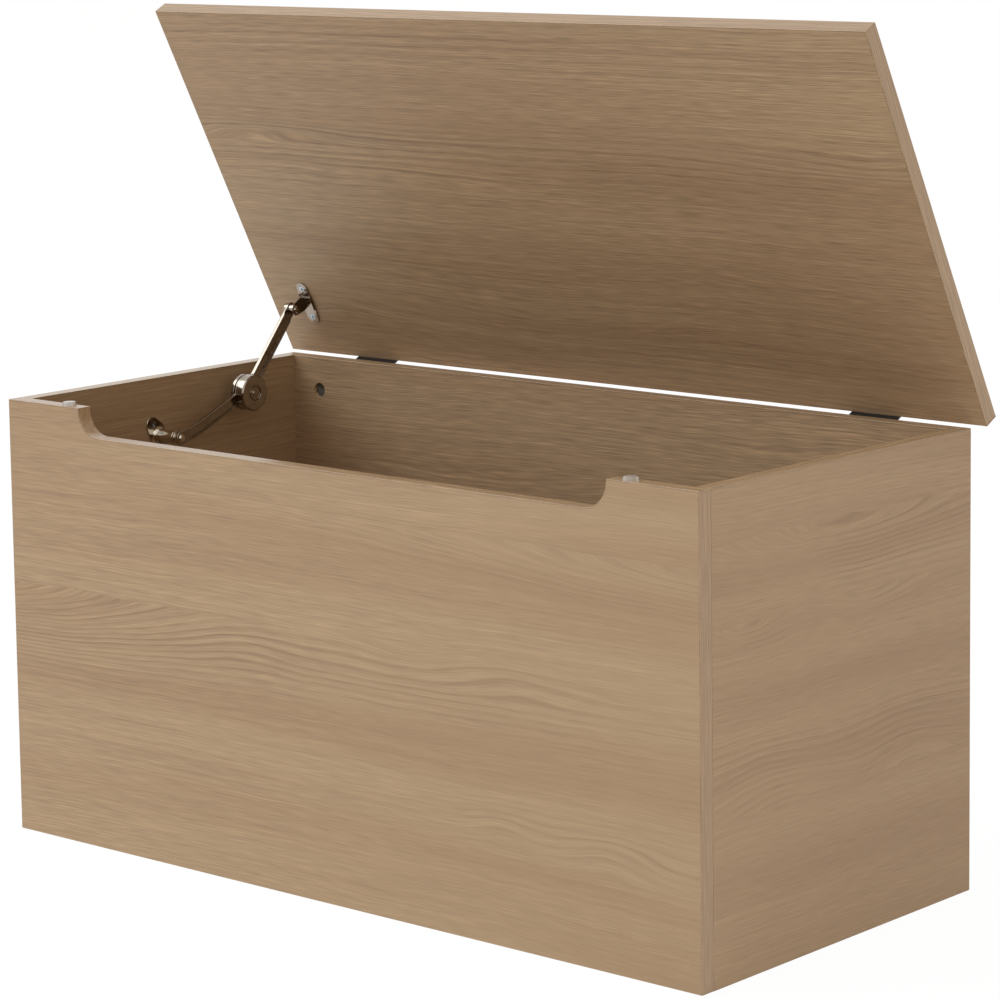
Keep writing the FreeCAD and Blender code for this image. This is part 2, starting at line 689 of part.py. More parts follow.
add_front()
add_sides()
add_back_and_base()
add_box_joints()
add_bumpers()
add_lid()
add_hinges()
add_side_bracket()
add_lid_bracket()
add_lower_arm()
add_upper_arm()
add_hub()

os.makedirs("parts", exist_ok=True)
for node, solids in nodes.items():
    if node in panel_cuts:
        solids = [solid.cut(panel_cuts[node]) for solid in solids]
    if node in lid_nodes:
        solids = [lid_turned(solid) for solid in solids]
    shape = solids[0] if len(solids) == 1 else Part.makeCompound(solids)
    shape.exportStep("parts/" + node + ".step")
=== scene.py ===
import json
import math
from collections import namedtuple

import bpy
from mathutils import Matrix, Vector


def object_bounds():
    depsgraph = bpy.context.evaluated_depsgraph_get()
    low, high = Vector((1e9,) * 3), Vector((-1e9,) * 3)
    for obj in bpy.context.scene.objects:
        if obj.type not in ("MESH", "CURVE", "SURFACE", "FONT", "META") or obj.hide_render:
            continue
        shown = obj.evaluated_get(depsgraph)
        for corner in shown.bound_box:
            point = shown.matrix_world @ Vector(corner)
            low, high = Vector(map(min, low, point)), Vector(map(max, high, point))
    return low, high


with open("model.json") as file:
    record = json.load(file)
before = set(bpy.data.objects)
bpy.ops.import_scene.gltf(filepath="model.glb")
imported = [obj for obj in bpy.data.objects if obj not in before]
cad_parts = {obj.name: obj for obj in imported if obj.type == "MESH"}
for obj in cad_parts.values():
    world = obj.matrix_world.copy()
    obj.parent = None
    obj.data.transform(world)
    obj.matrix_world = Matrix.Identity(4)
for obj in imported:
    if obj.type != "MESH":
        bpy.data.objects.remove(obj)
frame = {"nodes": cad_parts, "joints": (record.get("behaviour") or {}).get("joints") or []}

CAD_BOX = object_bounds()
nodes = frame["nodes"]
joints = {joint["name"]: joint for joint in frame["joints"]}

MM = 0.001
LONGEST = CAD_BOX[1][0] - CAD_BOX[0][0]
LID_OPEN = math.radians(-joints["lid_hinge"]["range_deg"][0])
HINGE = Vector(joints["lid_hinge"]["pos_m"])
WHITE = (1.0, 1.0, 1.0, 1.0)

# Most values of a noise lie between these
NOISE_REACH = (0.3, 0.7)


# Node building

def feed(tree, socket, value):
    if isinstance(value, bpy.types.NodeSocket):
        tree.links.new(value, socket)
    else:
        socket.default_value = value


def put(tree, kind, inputs=None, **settings):
    made = tree.nodes.new("ShaderNode" + kind)
    for name, value in settings.items():
        setattr(made, name, value)
    for key, value in (inputs or {}).items():
        feed(tree, made.inputs[key], value)
    return made


def calc(tree, operation, *values):
    made = put(tree, "Math", dict(enumerate(values)), operation=operation)
    return made.outputs[0]


def times(tree, first, second):
    return calc(tree, "MULTIPLY", first, second)


def add_up(tree, *values):
    total = values[0]
    for value in values[1:]:
        total = calc(tree, "ADD", total, value)
    return total


def spread(tree, value, low, high, to_low=0.0, to_high=1.0):
    made = put(tree, "MapRange", {"Value": value, "From Min": low, "From Max": high,
                                  "To Min": to_low, "To Max": to_high}, interpolation_type="SMOOTHSTEP")
    return made.outputs["Result"]


def blend_value(tree, factor, first, second):
    return put(tree, "Mix", {0: factor, 2: first, 3: second}, data_type="FLOAT").outputs[0]


def blend_colour(tree, factor, first, second, mode="MIX"):
    made = put(tree, "Mix", {0: factor, 6: first, 7: second}, data_type="RGBA", blend_type=mode)
    return made.outputs[2]


def sway(tree, value, amount):
    """A noise value as a swing of plus or minus half the amount."""
    return calc(tree, "MULTIPLY_ADD", value, amount, -amount / 2)


def join_xyz(tree, x, y, z):
    return put(tree, "CombineXYZ", {0: x, 1: y, 2: z}).outputs[0]


def noise(tree, place, scale=1.0, detail=2.0, roughness=0.5, distortion=0.0):
    made = put(tree, "TexNoise", {"Vector": place, "Scale": scale, "Detail": detail, "Roughness": roughness,
                                  "Distortion": distortion}, noise_dimensions="3D")
    return made.outputs[0]


def linear(red, green, blue):
    """Colour as the render takes it, from 0 to 255 screen values."""
    def one(value):
        share = value / 255
        return share / 12.92 if share <= 0.04045 else ((share + 0.055) / 1.055) ** 2.4
    return (one(red), one(green), one(blue), 1.0)


def new_material(name):
    made = bpy.data.materials.new(name)
    made.use_nodes = True
    tree = made.node_tree
    tree.nodes.clear()
    shader = put(tree, "BsdfPrincipled")
    put(tree, "OutputMaterial", {"Surface": shader.outputs[0]})
    return made, tree, shader


def bump(tree, height, strength, distance):
    return put(tree, "Bump", {"Strength": strength, "Distance": distance, "Height": height}).outputs[0]


def new_group(name, inputs, outputs):
    tree = bpy.data.node_groups.new(name, "ShaderNodeTree")
    for kind, title in inputs:
        tree.interface.new_socket(title, in_out="INPUT", socket_type="NodeSocket" + kind)
    for kind, title in outputs:
        tree.interface.new_socket(title, in_out="OUTPUT", socket_type="NodeSocket" + kind)
    start = tree.nodes.new("NodeGroupInput")
    end = tree.nodes.new("NodeGroupOutput")
    return tree, start.outputs, end.inputs


def use_group(tree, group, **inputs):
    made = tree.nodes.new("ShaderNodeGroup")
    made.node_tree = group
    for key, value in inputs.items():
        feed(tree, made.inputs[key], value)
    return made.outputs


# Printed oak: u runs along the grain and v across it, in metres, and w is the place's slice of the noise

OAK_PALE = linear(174, 148, 115)
OAK_WARM = linear(166, 138, 106)
OAK_LINE = linear(132, 104, 78)

# A layer of the print: its noise cells in a metre across and along the grain, its own shift of the slice,
# and the noise's detail
Grain = namedtuple("Grain", "across along slice detail")
SLOW_BEND = Grain(2.4, 1.1, 0.0, 1.0)
SMALL_WAVE = Grain(9.0, 4.6, 3.1, 2.0)
RING_SWAY = Grain(60.0, 3.0, 21.0, 1.0)
TONE_BAND = Grain(21.0, 1.0, 11.0, 2.0)
STREAKS = (Grain(170.0, 1.8, 5.0, 1.0), Grain(330.0, 1.8, 7.0, 1.0), Grain(760.0, 2.6, 13.0, 1.0))
PORE = Grain(1000.0, 20.0, 9.0, 1.0)
FLECK = Grain(1500.0, 40.0, 52.0, 0.0)
PALE_HAIR = Grain(420.0, 3.0, 2.7, 0.0)
DARK_HAIR = Grain(380.0, 5.0, 16.0, 0.0)
CALM_PATCH = Grain(14.0, 2.2, 41.0, 1.0)

# Where a layer's noise turns from nothing to full
CRISP = (0.34, 0.66)
PALE_HAIR_EDGE = (0.70, 0.80)
DARK_HAIR_EDGE = (0.69, 0.80)
CALM_EDGE = (0.36, 0.62)

# How far the grain bends, in metres and then in growth rings, and the growth rings in a metre
SLOW_BEND_SIZE = 0.040
SMALL_WAVE_SIZE = 0.009
RING_SWAY_SIZE = 0.8
RINGS_PER_M = 118.0

# A growth ring's dark line: where it starts and is darkest in the ring, the faintest line's share of the
# darkest one, and how far a line takes the colour to its own
LINE_START = 0.20
LINE_PEAK = 0.84
LINE_LEAST = 0.50
LINE_DEPTH = 0.58

# How much the other layers change the lightness, as shares of it, and the streaks' share in a calm patch
STREAK_DEPTHS = (0.026, 0.060, 0.140)
PORE_DEPTH = 0.34
FLECK_DEPTH = 0.40
PALE_HAIR_DEPTH = 0.075
DARK_HAIR_DEPTH = -0.07
CALM_LEAST = 0.45

# Roughness of the print, and how high each layer stands in its relief
OAK_ROUGHNESS = 0.46
PORE_ROUGHNESS = 0.30
LINE_ROUGHNESS = 0.08
PORE_HEIGHT = 0.9
STREAK_HEIGHT = 6.0
LINE_HEIGHT = -0.35

# A figure in the grain: its middle, its half length and half width, the growth rings that it adds, the
# side of it that shows (1 right, -1 left, 0 both), the part that shows (1 above the cut, -1 below it,
# 0 both), the cut's height in half widths above the middle, and how dark its lines are
Figure = namedtuple("Figure", "u v long wide rings side part cut ink", defaults=(0, 0, 0.0, 0.4))

# How fast a figure's lines fade from its middle, and where they fade out at its hidden side, in half
# lengths, and on both sides of its cut, in half widths
FIGURE_FADE = 0.50
SIDE_FADE = (-0.2, 0.15)
CUT_FADE = 0.05


def make_bell_group():
    """The rings that a figure adds round its middle, and where its lines show."""
    tree, given, result = new_group(
        "oak_figure",
        [("Float", name) for name in ("u", "v", "at_u", "at_v", "long", "wide", "rings")],
        [("Float", name) for name in ("rings", "mask", "along", "across")])
    along = calc(tree, "DIVIDE", calc(tree, "SUBTRACT", given["u"], given["at_u"]), given["long"])
    across = calc(tree, "DIVIDE", calc(tree, "SUBTRACT", given["v"], given["at_v"]), given["wide"])
    far = calc(tree, "ADD", times(tree, along, along), times(tree, across, across))
    bell = calc(tree, "EXPONENT", times(tree, far, -1.0))
    feed(tree, result["rings"], times(tree, bell, given["rings"]))
    feed(tree, result["mask"], calc(tree, "EXPONENT", times(tree, far, -FIGURE_FADE)))
    feed(tree, result["along"], along)
    feed(tree, result["across"], across)
    return tree


def make_oak_group():
    """The print's colour, roughness and relief from a place on the board and the figures there."""
    tree, given, result = new_group(
        "oak_print",
        [("Float", name) for name in ("u", "v", "w", "rings", "figure", "contrast")],
        [("Color", "colour"), ("Float", "roughness"), ("Float", "height")])
    u, v, w = given["u"], given["v"], given["w"]

    def layer(grain, across):
        place = join_xyz(tree, times(tree, across, grain.across), times(tree, u, grain.along),
                         calc(tree, "ADD", w, grain.slice))
        return noise(tree, place, detail=grain.detail)

    slow = sway(tree, layer(SLOW_BEND, v), SLOW_BEND_SIZE)
    wave = sway(tree, layer(SMALL_WAVE, v), SMALL_WAVE_SIZE)
    line = add_up(tree, v, slow, wave, calc(tree, "DIVIDE", given["rings"], RINGS_PER_M))

    ring = calc(tree, "MULTIPLY_ADD", line, RINGS_PER_M, sway(tree, layer(RING_SWAY, v), RING_SWAY_SIZE))
    phase = calc(tree, "FRACT", ring)
    own = put(tree, "TexWhiteNoise", {"W": calc(tree, "ADD", calc(tree, "FLOOR", ring), w)},
              noise_dimensions="1D").outputs[0]
    rise = spread(tree, phase, LINE_START, LINE_PEAK)
    drop = spread(tree, phase, LINE_PEAK, 1.0, 1.0, 0.0)
    ring_ink = spread(tree, own, 0.0, 1.0, LINE_LEAST, 1.0)
    shown = times(tree, calc(tree, "MINIMUM", given["figure"], 1.0), ring_ink)
    dark = times(tree, times(tree, times(tree, rise, rise), drop), shown)

    band = spread(tree, layer(TONE_BAND, line), *CRISP)
    pore = layer(PORE, line)
    fleck = layer(FLECK, line)
    pale_hair = spread(tree, layer(PALE_HAIR, line), *PALE_HAIR_EDGE)
    dark_hair = spread(tree, layer(DARK_HAIR, line), *DARK_HAIR_EDGE)
    calm = spread(tree, layer(CALM_PATCH, v), *CALM_EDGE, CALM_LEAST, 1.0)
    streaks = add_up(tree, *(sway(tree, spread(tree, layer(grain, line), *CRISP), depth)
                             for grain, depth in zip(STREAKS, STREAK_DEPTHS)))

    base = blend_colour(tree, band, OAK_PALE, OAK_WARM)
    base = blend_colour(tree, times(tree, dark, LINE_DEPTH), base, OAK_LINE)
    marks = add_up(tree, times(tree, streaks, calm), sway(tree, pore, PORE_DEPTH),
                   sway(tree, fleck, FLECK_DEPTH), times(tree, pale_hair, PALE_HAIR_DEPTH),
                   times(tree, dark_hair, DARK_HAIR_DEPTH))
    level = calc(tree, "MULTIPLY_ADD", marks, given["contrast"], 1.0)
    tint = join_xyz(tree, level, level, level)
    feed(tree, result["colour"], blend_colour(tree, 1.0, base, tint, "MULTIPLY"))

    roughness = add_up(tree, OAK_ROUGHNESS, sway(tree, pore, PORE_ROUGHNESS),
                       times(tree, dark, LINE_ROUGHNESS))
    feed(tree, result["roughness"], roughness)
    relief = add_up(tree, times(tree, pore, PORE_HEIGHT), times(tree, streaks, STREAK_HEIGHT),
                    times(tree, dark, LINE_HEIGHT))
    feed(tree, result["height"], relief)
    return tree


# Particle board's core: chips and dust in noise cells per metre, and their shares in its pattern

CHIP_PALE = linear(206, 176, 132)
CHIP_DARK = linear(140, 108, 74)
CHIPS_PER_M = 420.0
CHIP_DUST_PER_M = 1600.0
CHIP_SHARE = 0.8
CHIP_DUST_SHARE = 0.5
CHIP_EDGE = (0.3, 0.95)
CHIP_ROUGHNESS = 0.9


def make_chip_group():
    """Sawn edge of particle board, seen where no strip covers it and in the drilled holes."""
    tree, given, result = new_group("chip_core", [("Vector", "place")],
                                    [("Color", "colour"), ("Float", "height")])
    chips = put(tree, "TexVoronoi", {"Vector": given["place"], "Scale": CHIPS_PER_M, "Randomness": 1.0})
    dust = noise(tree, given["place"], CHIP_DUST_PER_M, detail=3.0)
    pattern = add_up(tree, times(tree, chips.outputs["Distance"], CHIP_SHARE),
                     times(tree, dust, CHIP_DUST_SHARE))
    feed(tree, result["colour"], blend_colour(tree, spread(tree, pattern, *CHIP_EDGE), CHIP_PALE, CHIP_DARK))
    feed(tree, result["height"], pattern)
    return tree


BELL = make_bell_group()
OAK = make_oak_group()
CHIP = make_chip_group()


# Boards and edging strips. Each relief here and below is a strength and a depth

# How much a board's or a strip's slice of the noise changes in a metre through its thickness
BOARD_SLICES_PER_M = 90.0
STRIP_SLICES_PER_M = 40.0

# Unevenness of the figures: noise cells in a metre across the grain, cells along it for each one across,
# and how far the figures wander, in metres
WANDER_PER_M = 16.0
WANDER_ALONG = 0.5
WANDER_SIZE = 0.012

# How much of a face's normal lies along the thickness, where it turns from bare core to print
LAMINATED_FROM = (0.3, 0.5)
BOARD_RELIEF = (0.35, 0.18 * MM)
BOARD_GLOSS = 0.40

# A strip's corners get a painted pale highlight, broken up by noise, where no part of the normal is this
# large, from not at all to fully
STRIP_PAINTED_HIGHLIGHT = linear(206, 188, 164)
STRIP_HIGHLIGHT_FROM = (0.995, 0.86)
STRIP_HIGHLIGHT_SHARE = 0.4
STRIP_HIGHLIGHT_BREAKS_PER_M = 260.0
STRIP_SMOOTHER_BY = 0.22
STRIP_RELIEF = (0.15, 0.1 * MM)
STRIP_GLOSS = 0.5


def figure_field(tree, u, v, figures):
    """The growth rings that all the figures of a board add, and how much their lines show."""
    rings, shown = 0.0, 0.0
    for figure in figures:
        bell = use_group(tree, BELL, u=u, v=v, at_u=figure.u, at_v=figure.v, long=figure.long,
                         wide=figure.wide, rings=figure.rings)
        mask = times(tree, bell["mask"], figure.ink)
        bend = bell["rings"]
        if figure.side:
            mask = times(tree, mask, spread(tree, bell["along"], *(edge * figure.side for edge in SIDE_FADE)))
        if figure.part:
            fade = CUT_FADE * figure.part
            mask = times(tree, mask, spread(tree, bell["across"], figure.cut - fade, figure.cut + fade))
            shows = "GREATER_THAN" if figure.part > 0 else "LESS_THAN"
            bend = times(tree, bend, calc(tree, shows, bell["across"], figure.cut))
        rings = calc(tree, "ADD", rings, bend)
        shown = calc(tree, "ADD", shown, mask)
    return rings, shown


def own_place(tree, on_lid):
    """Position and normal in the piece's own frame; for the lid, as if it were shut."""
    coords = put(tree, "TexCoord")
    place, normal = coords.outputs["Object"], coords.outputs["Normal"]
    if on_lid:
        place = put(tree, "VectorRotate", {"Vector": place, "Center": HINGE, "Angle": LID_OPEN},
                    rotation_type="X_AXIS").outputs[0]
        normal = put(tree, "VectorRotate", {"Vector": normal, "Center": (0, 0, 0), "Angle": LID_OPEN},
                     rotation_type="X_AXIS").outputs[0]
    return place, normal


def oak_material(name, board):
    """Laminated board with its print on both faces and its core at the edges."""
    made, tree, shader = new_material(name)
    place, normal = own_place(tree, board.on_lid)
    split = put(tree, "SeparateXYZ", {0: place}).outputs
    facing = put(tree, "SeparateXYZ", {0: normal}).outputs
    u, v, through = (split["XYZ".index(axis)] for axis in board.axes)
    w = calc(tree, "ADD", times(tree, through, BOARD_SLICES_PER_M), board.seed)
    uneven = noise(tree, join_xyz(tree, times(tree, u, WANDER_ALONG), v, w), WANDER_PER_M, detail=1.0)
    wander = sway(tree, uneven, WANDER_SIZE)
    rings, shown = figure_field(tree, u, calc(tree, "ADD", v, wander), board.figures)
    depth = spread(tree, u, -LONGEST / 2, LONGEST / 2, *board.contrast)
    oak = use_group(tree, OAK, u=u, v=v, w=w, rings=rings, figure=shown, contrast=depth)
    chip = use_group(tree, CHIP, place=place)
    laminated = spread(tree, calc(tree, "ABSOLUTE", facing["XYZ".index(board.axes[2])]), *LAMINATED_FROM)
    feed(tree, shader.inputs["Base Color"], blend_colour(tree, laminated, chip["colour"], oak["colour"]))
    feed(tree, shader.inputs["Roughness"], blend_value(tree, laminated, CHIP_ROUGHNESS, oak["roughness"]))
    height = blend_value(tree, laminated, chip["height"], oak["height"])
    feed(tree, shader.inputs["Normal"], bump(tree, height, *BOARD_RELIEF))
    shader.inputs["Specular IOR Level"].default_value = BOARD_GLOSS
    return made


def strip_material(name, strip):
    """Edging strip: straight grain along it, smoother than the boards, with a painted pale highlight at its
    corners.
    """
    made, tree, shader = new_material(name)
    place, normal = own_place(tree, strip.on_lid)
    split = put(tree, "SeparateXYZ", {0: place}).outputs
    facing = put(tree, "SeparateXYZ", {0: normal}).outputs
    u, v, through = (split["XYZ".index(axis)] for axis in strip.axes)
    w = calc(tree, "ADD", times(tree, through, STRIP_SLICES_PER_M), strip.seed)
    oak = use_group(tree, OAK, u=u, v=v, w=w, rings=0.0, figure=0.0, contrast=1.0)
    sizes = [calc(tree, "ABSOLUTE", facing[index]) for index in range(3)]
    flat = calc(tree, "MAXIMUM", calc(tree, "MAXIMUM", sizes[0], sizes[1]), sizes[2])
    # Painted highlight: pale colour on the strip's rounded corners, broken up by noise
    highlight_breaks = noise(tree, place, STRIP_HIGHLIGHT_BREAKS_PER_M, detail=3.0)
    painted_highlight = times(tree, spread(tree, flat, *STRIP_HIGHLIGHT_FROM), spread(tree, highlight_breaks, *NOISE_REACH))
    colour = blend_colour(tree, times(tree, painted_highlight, STRIP_HIGHLIGHT_SHARE), oak["colour"], STRIP_PAINTED_HIGHLIGHT)
    feed(tree, shader.inputs["Base Color"], colour)
    feed(tree, shader.inputs["Roughness"], calc(tree, "SUBTRACT", oak["roughness"], STRIP_SMOOTHER_BY))
    feed(tree, shader.inputs["Normal"], bump(tree, oak["height"], *STRIP_RELIEF))
    shader.inputs["Specular IOR Level"].default_value = STRIP_GLOSS
    return made


# Metals, lacquers, clear plastic and raw wood, with their marks in noise cells per metre

METAL_MARKS_PER_M = 2600.0
METAL_SMEARS_PER_M = 120.0
METAL_SMEAR_SHARE = 0.5
METAL_RELIEF_STRENGTH = 0.03
METAL_RELIEF_DEPTH = 0.05 * MM
LACQUER_PEEL_PER_M = 1400.0
LACQUER_DUST_PER_M = 240.0
LACQUER_DUST_EDGE = (0.45, 0.75)
LACQUER_SMOOTHER_BY = 0.06
LACQUER_ROUGHER_BY = 0.1
LACQUER_RELIEF = (0.15, 0.1 * MM)
BUMPER_DULL = linear(236, 236, 232)
BUMPER_CLEAN = linear(252, 251, 247)
BUMPER_HAZE_PER_M = 700.0
BUMPER_ROUGHNESS = (0.06, 0.16)
BUMPER_RELIEF = (0.05, 0.1 * MM)
BUMPER_CLEARNESS = 0.72
BUMPER_IOR = 1.48
BEECH_PALE = linear(205, 170, 126)
BEECH_DARK = linear(176, 138, 96)
BEECH_FLECKS_PER_M = 1500.0
BEECH_STRETCH = (0.3, 0.3, 1.0)
BEECH_ROUGHNESS = (0.6, 0.8)
BEECH_RELIEF = (0.3, 0.2 * MM)


def metal_material(name, dark, pale, rough_low, rough_high, relief=METAL_RELIEF_STRENGTH):
    """Plated or bare metal with faint drawn marks and thin smears."""
    made, tree, shader = new_material(name)
    place = put(tree, "TexCoord").outputs["Object"]
    marks = noise(tree, place, METAL_MARKS_PER_M, roughness=0.6)
    smear = noise(tree, place, METAL_SMEARS_PER_M, distortion=0.4)
    both = add_up(tree, times(tree, marks, 1 - METAL_SMEAR_SHARE), times(tree, smear, METAL_SMEAR_SHARE))
    feed(tree, shader.inputs["Base Color"], blend_colour(tree, spread(tree, both, *NOISE_REACH), dark, pale))
    feed(tree, shader.inputs["Roughness"], spread(tree, smear, *NOISE_REACH, rough_low, rough_high))
    feed(tree, shader.inputs["Normal"], bump(tree, marks, relief, METAL_RELIEF_DEPTH))
    shader.inputs["Metallic"].default_value = 1.0
    return made


def lacquer_material(name, dark, pale, roughness):
    """Paint or moulded plastic with a fine orange peel and a little dust."""
    made, tree, shader = new_material(name)
    place = put(tree, "TexCoord").outputs["Object"]
    peel = noise(tree, place, LACQUER_PEEL_PER_M)
    dust = noise(tree, place, LACQUER_DUST_PER_M, detail=4.0, roughness=0.65)
    dusty = spread(tree, dust, *LACQUER_DUST_EDGE)
    feed(tree, shader.inputs["Base Color"], blend_colour(tree, dusty, dark, pale))
    rough = spread(tree, dust, *NOISE_REACH, roughness - LACQUER_SMOOTHER_BY, roughness + LACQUER_ROUGHER_BY)
    feed(tree, shader.inputs["Roughness"], rough)
    feed(tree, shader.inputs["Normal"], bump(tree, peel, *LACQUER_RELIEF))
    return made


def bumper_material(name):
    """Clear soft plastic with a light haze."""
    made, tree, shader = new_material(name)
    place = put(tree, "TexCoord").outputs["Object"]
    haze = noise(tree, place, BUMPER_HAZE_PER_M, detail=3.0, roughness=0.6)
    feed(tree, shader.inputs["Base Color"], blend_colour(tree, haze, BUMPER_DULL, BUMPER_CLEAN))
    feed(tree, shader.inputs["Roughness"], spread(tree, haze, *NOISE_REACH, *BUMPER_ROUGHNESS))
    feed(tree, shader.inputs["Normal"], bump(tree, haze, *BUMPER_RELIEF))
    shader.inputs["Transmission Weight"].default_value = BUMPER_CLEARNESS
    shader.inputs["IOR"].default_value = BUMPER_IOR
    return made


def dowel_material(name):
    """Raw turned wood with short flecks."""
    made, tree, shader = new_material(name)
    place = put(tree, "TexCoord").outputs["Object"]
    along = put(tree, "Mapping", {"Vector": place, "Scale": BEECH_STRETCH}).outputs[0]
    fleck = noise(tree, along, BEECH_FLECKS_PER_M, detail=3.0)
    feed(tree, shader.inputs["Base Color"], blend_colour(tree, fleck, BEECH_PALE, BEECH_DARK))
    feed(tree, shader.inputs["Roughness"], spread(tree, fleck, *NOISE_REACH, *BEECH_ROUGHNESS))
    feed(tree, shader.inputs["Normal"], bump(tree, fleck, *BEECH_RELIEF))
    return made


# Which finish each solid has. A board or strip gives the frame's axes that its grain, width and thickness
# lie along and its own slice of the noise; a board also how strong its fine grain is at the grain's two ends

Board = namedtuple("Board", "axes seed contrast figures on_lid", defaults=(False,))
Strip = namedtuple("Strip", "axes seed on_lid", defaults=(False,))

BOARDS = {
    "front_panel": Board("XZY", 3.7, (1.0, 0.48), [
        Figure(-0.470, 0.2310, 0.250, 0.050, 11.5, 1, -1, 0.1, 1.5),
        Figure(-0.107, 0.2100, 0.060, 0.020, -1.0),
        Figure(0.120, 0.2080, 0.260, 0.016, 0.8),
        Figure(0.085, 0.2400, 0.050, 0.018, 1.4, -1, -1, 0.0),
        Figure(0.215, 0.2240, 0.060, 0.018, -0.7),
        Figure(0.420, 0.3330, 0.240, 0.030, 6.0, -1, -1, 0.3),
        Figure(0.190, 0.1050, 0.040, 0.014, -1.0),
        Figure(0.310, 0.0960, 0.045, 0.016, -1.6),
        Figure(0.370, 0.0920, 0.110, 0.016, 0.8)]),
    "back_panel": Board("XZY", 31.3, (1.4, 1.6), [
        Figure(-0.100, 0.300, 0.300, 0.016, 1.6),
        Figure(0.250, 0.360, 0.200, 0.012, 1.0)]),
    "left_panel": Board("YZX", 57.9, (0.75, 0.75), [
        Figure(-0.050, 0.330, 0.160, 0.016, 1.6)]),
    "right_panel": Board("YZX", 83.1, (0.6, 0.7), [
        Figure(-0.010, 0.3450, 0.210, 0.030, 4.6, 1, -1, 0.43, 1.3),
        Figure(-0.130, 0.2850, 0.060, 0.018, 2.6, 1, -1, 0.3, 0.6),
        Figure(0.040, 0.2860, 0.070, 0.018, 2.6, 1, -1, 0.3, 0.5),
        Figure(0.000, 0.1780, 0.240, 0.020, 0.3, ink=0.3),
        Figure(-0.110, 0.1660, 0.055, 0.026, -1.1, ink=0.2),
        Figure(0.090, 0.1640, 0.060, 0.026, -0.9, ink=0.2),
        Figure(-0.070, 0.1350, 0.080, 0.024, -2.6, -1, 1, 0.0),
        Figure(0.110, 0.1330, 0.060, 0.022, -2.6, -1, 1, 0.0)]),
    "base_panel": Board("XYZ", 111.7, (1.4, 1.4), [
        Figure(0.100, 0.000, 0.300, 0.024, 2.0)]),
    "lid_panel": Board("XYZ", 139.3, (1.4, 1.3), [
        Figure(-0.120, -0.1850, 0.420, 0.020, 0.5, ink=0.8),
        Figure(-0.330, -0.0720, 0.110, 0.012, 1.7, ink=0.8),
        Figure(0.000, -0.0500, 0.420, 0.022, 0.6, ink=0.8),
        Figure(-0.297, -0.0330, 0.200, 0.012, 0.8),
        Figure(0.039, -0.0680, 0.260, 0.010, 0.6),
        Figure(0.352, -0.0700, 0.110, 0.012, -1.0),
        Figure(-0.048, 0.1220, 0.120, 0.016, -1.2),
        Figure(-0.329, 0.1240, 0.090, 0.016, 1.2),
        Figure(0.150, 0.0500, 0.220, 0.010, 0.6)], on_lid=True),
}
STRIPS = {
    "front_end_bands": Strip("ZYX", 5.1),
    "front_top_band": Strip("XYZ", 9.4),
    "back_top_band": Strip("XYZ", 14.2),
    "left_top_band": Strip("YXZ", 19.8),
    "left_back_band": Strip("ZXY", 23.6),
    "right_top_band": Strip("YXZ", 28.9),
    "right_back_band": Strip("ZXY", 33.3),
    "lid_front_band": Strip("XZY", 38.7, on_lid=True),
    "lid_rear_band": Strip("XZY", 44.1, on_lid=True),
    "lid_end_bands": Strip("YZX", 49.5, on_lid=True),
}

NICKEL = metal_material("stay_nickel", linear(146, 135, 122), linear(168, 157, 144), 0.11, 0.20)
PALE_NICKEL = metal_material("stay_pale_nickel", linear(190, 179, 164), linear(214, 205, 192), 0.07, 0.14)
ZINC = metal_material("zinc_plated_steel", linear(150, 160, 170), linear(205, 212, 218), 0.16, 0.30)
CAST = metal_material("die_cast_zinc", linear(108, 108, 106), linear(146, 146, 142), 0.38, 0.55, 0.4)
SPRING = metal_material("oiled_spring_steel", linear(92, 92, 94), linear(130, 130, 132), 0.25, 0.4)
PIN = metal_material("blackened_pin_steel", linear(52, 52, 54), linear(84, 84, 86), 0.3, 0.45)
BLACK = lacquer_material("black_hinge_lacquer", linear(18, 18, 19), linear(34, 33, 32), 0.38)
BLACK_SCREW = lacquer_material("black_screw_oxide", linear(24, 24, 26), linear(42, 41, 40), 0.42)
ACETAL = lacquer_material("dark_acetal", linear(48, 47, 46), linear(66, 65, 62), 0.45)
CLEAR = bumper_material("clear_bumper")
BEECH = dowel_material("raw_beech")

FITTINGS = {
    "cam_locks": CAST,
    "cam_bolts": ZINC,
    "wood_dowels": BEECH,
    "lid_bumpers": CLEAR,
    "hinge_box_leaf_left": BLACK,
    "hinge_box_leaf_right": BLACK,
    "hinge_lid_leaf_left": BLACK,
    "hinge_lid_leaf_right": BLACK,
    "hinge_box_screws": BLACK_SCREW,
    "hinge_lid_screws": BLACK_SCREW,
    "hinge_pins": PIN,
    "stay_side_bracket": PALE_NICKEL,
    "stay_side_screws": ZINC,
    "stay_post_washers": PALE_NICKEL,
    "stay_lid_plate": NICKEL,
    "stay_lid_ear": NICKEL,
    "stay_ear_rivets": NICKEL,
    "stay_lid_screws": ZINC,
    "stay_lid_rivet": NICKEL,
    "stay_lid_washers": NICKEL,
    "stay_upper_arm": NICKEL,
    "stay_lower_arm": NICKEL,
    "stay_side_rivet": PALE_NICKEL,
    "hub_cup": NICKEL,
    "hub_disc_springs": SPRING,
    "hub_friction_disc": ACETAL,
    "hub_rivet": NICKEL,
}


def dress(node, material):
    mesh = nodes[node].data
    mesh.materials.clear()
    mesh.materials.append(material)


for node, board in BOARDS.items():
    dress(node, oak_material("oak_" + node, board))
for node, strip in STRIPS.items():
    dress(node, strip_material("strip_" + node, strip))
for node, material in FITTINGS.items():
    dress(node, material)


# Softened edges

STRIP_EDGE = 0.35 * MM
STRIP_EDGE_STEPS = 2
PRESSED_EDGE = 0.4 * MM
PRESSED_EDGE_STEPS = 3
PRESSED = ("stay_side_bracket", "stay_lid_plate", "stay_lid_ear", "stay_upper_arm", "stay_lower_arm",
           "hub_cup", "hub_rivet", "stay_lid_rivet", "stay_side_rivet", "stay_lid_washers",
           "stay_post_washers")
WELD_GAP = 0.002 * MM
FLAT_WITHIN = math.radians(0.4)
SHARP_FROM = math.radians(32)


